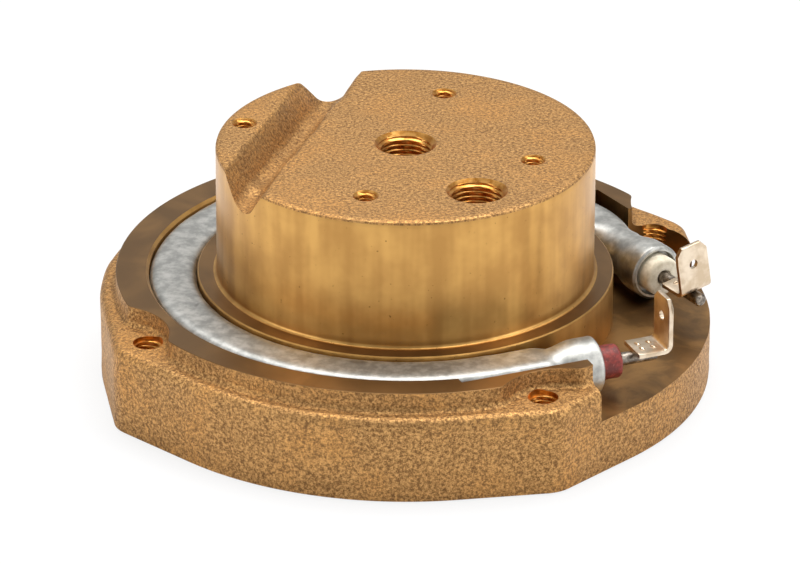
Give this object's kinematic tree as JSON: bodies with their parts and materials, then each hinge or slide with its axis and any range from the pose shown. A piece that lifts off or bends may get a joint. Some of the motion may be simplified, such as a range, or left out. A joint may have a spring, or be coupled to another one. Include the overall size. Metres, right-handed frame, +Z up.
{
  "type": "espresso machine heating element",
  "caption": "Small cast and machined boiler head with a tubular heating element pressed into a ring groove and two push-on tabs.",
  "frame": {"origin": "centre of the flange's bottom face, on the boiler's axis", "axes": "+Z up along the boiler's axis, out of the dome's top; +X towards the two terminals; +Y completes a right-handed frame"},
  "size_m": [0.1072, 0.1072, 0.0427],
  "materials": {
    "boiler_head": "cast and machined brass, dulled",
    "heater_sheath": "matte grey metal tube",
    "magnesia_filling": "packed white powder",
    "resistance_coil": "bare resistance wire",
    "front_pin": "bare steel pin",
    "rear_pin": "bare steel pin",
    "front_seal": "dark red silicone",
    "rear_bush": "unglazed cream ceramic",
    "front_tab": "nickel-plated steel",
    "rear_tab": "nickel-plated steel"
  },
  "bodies": {
    "root": {"boiler_head": "boiler_head", "heater_sheath": "heater_sheath", "magnesia_filling": "magnesia_filling", "resistance_coil": "resistance_coil", "front_pin": "front_pin", "rear_pin": "rear_pin", "front_seal": "front_seal", "rear_bush": "rear_bush", "front_tab": "front_tab", "rear_tab": "rear_tab"}
  },
  "joints": []
}
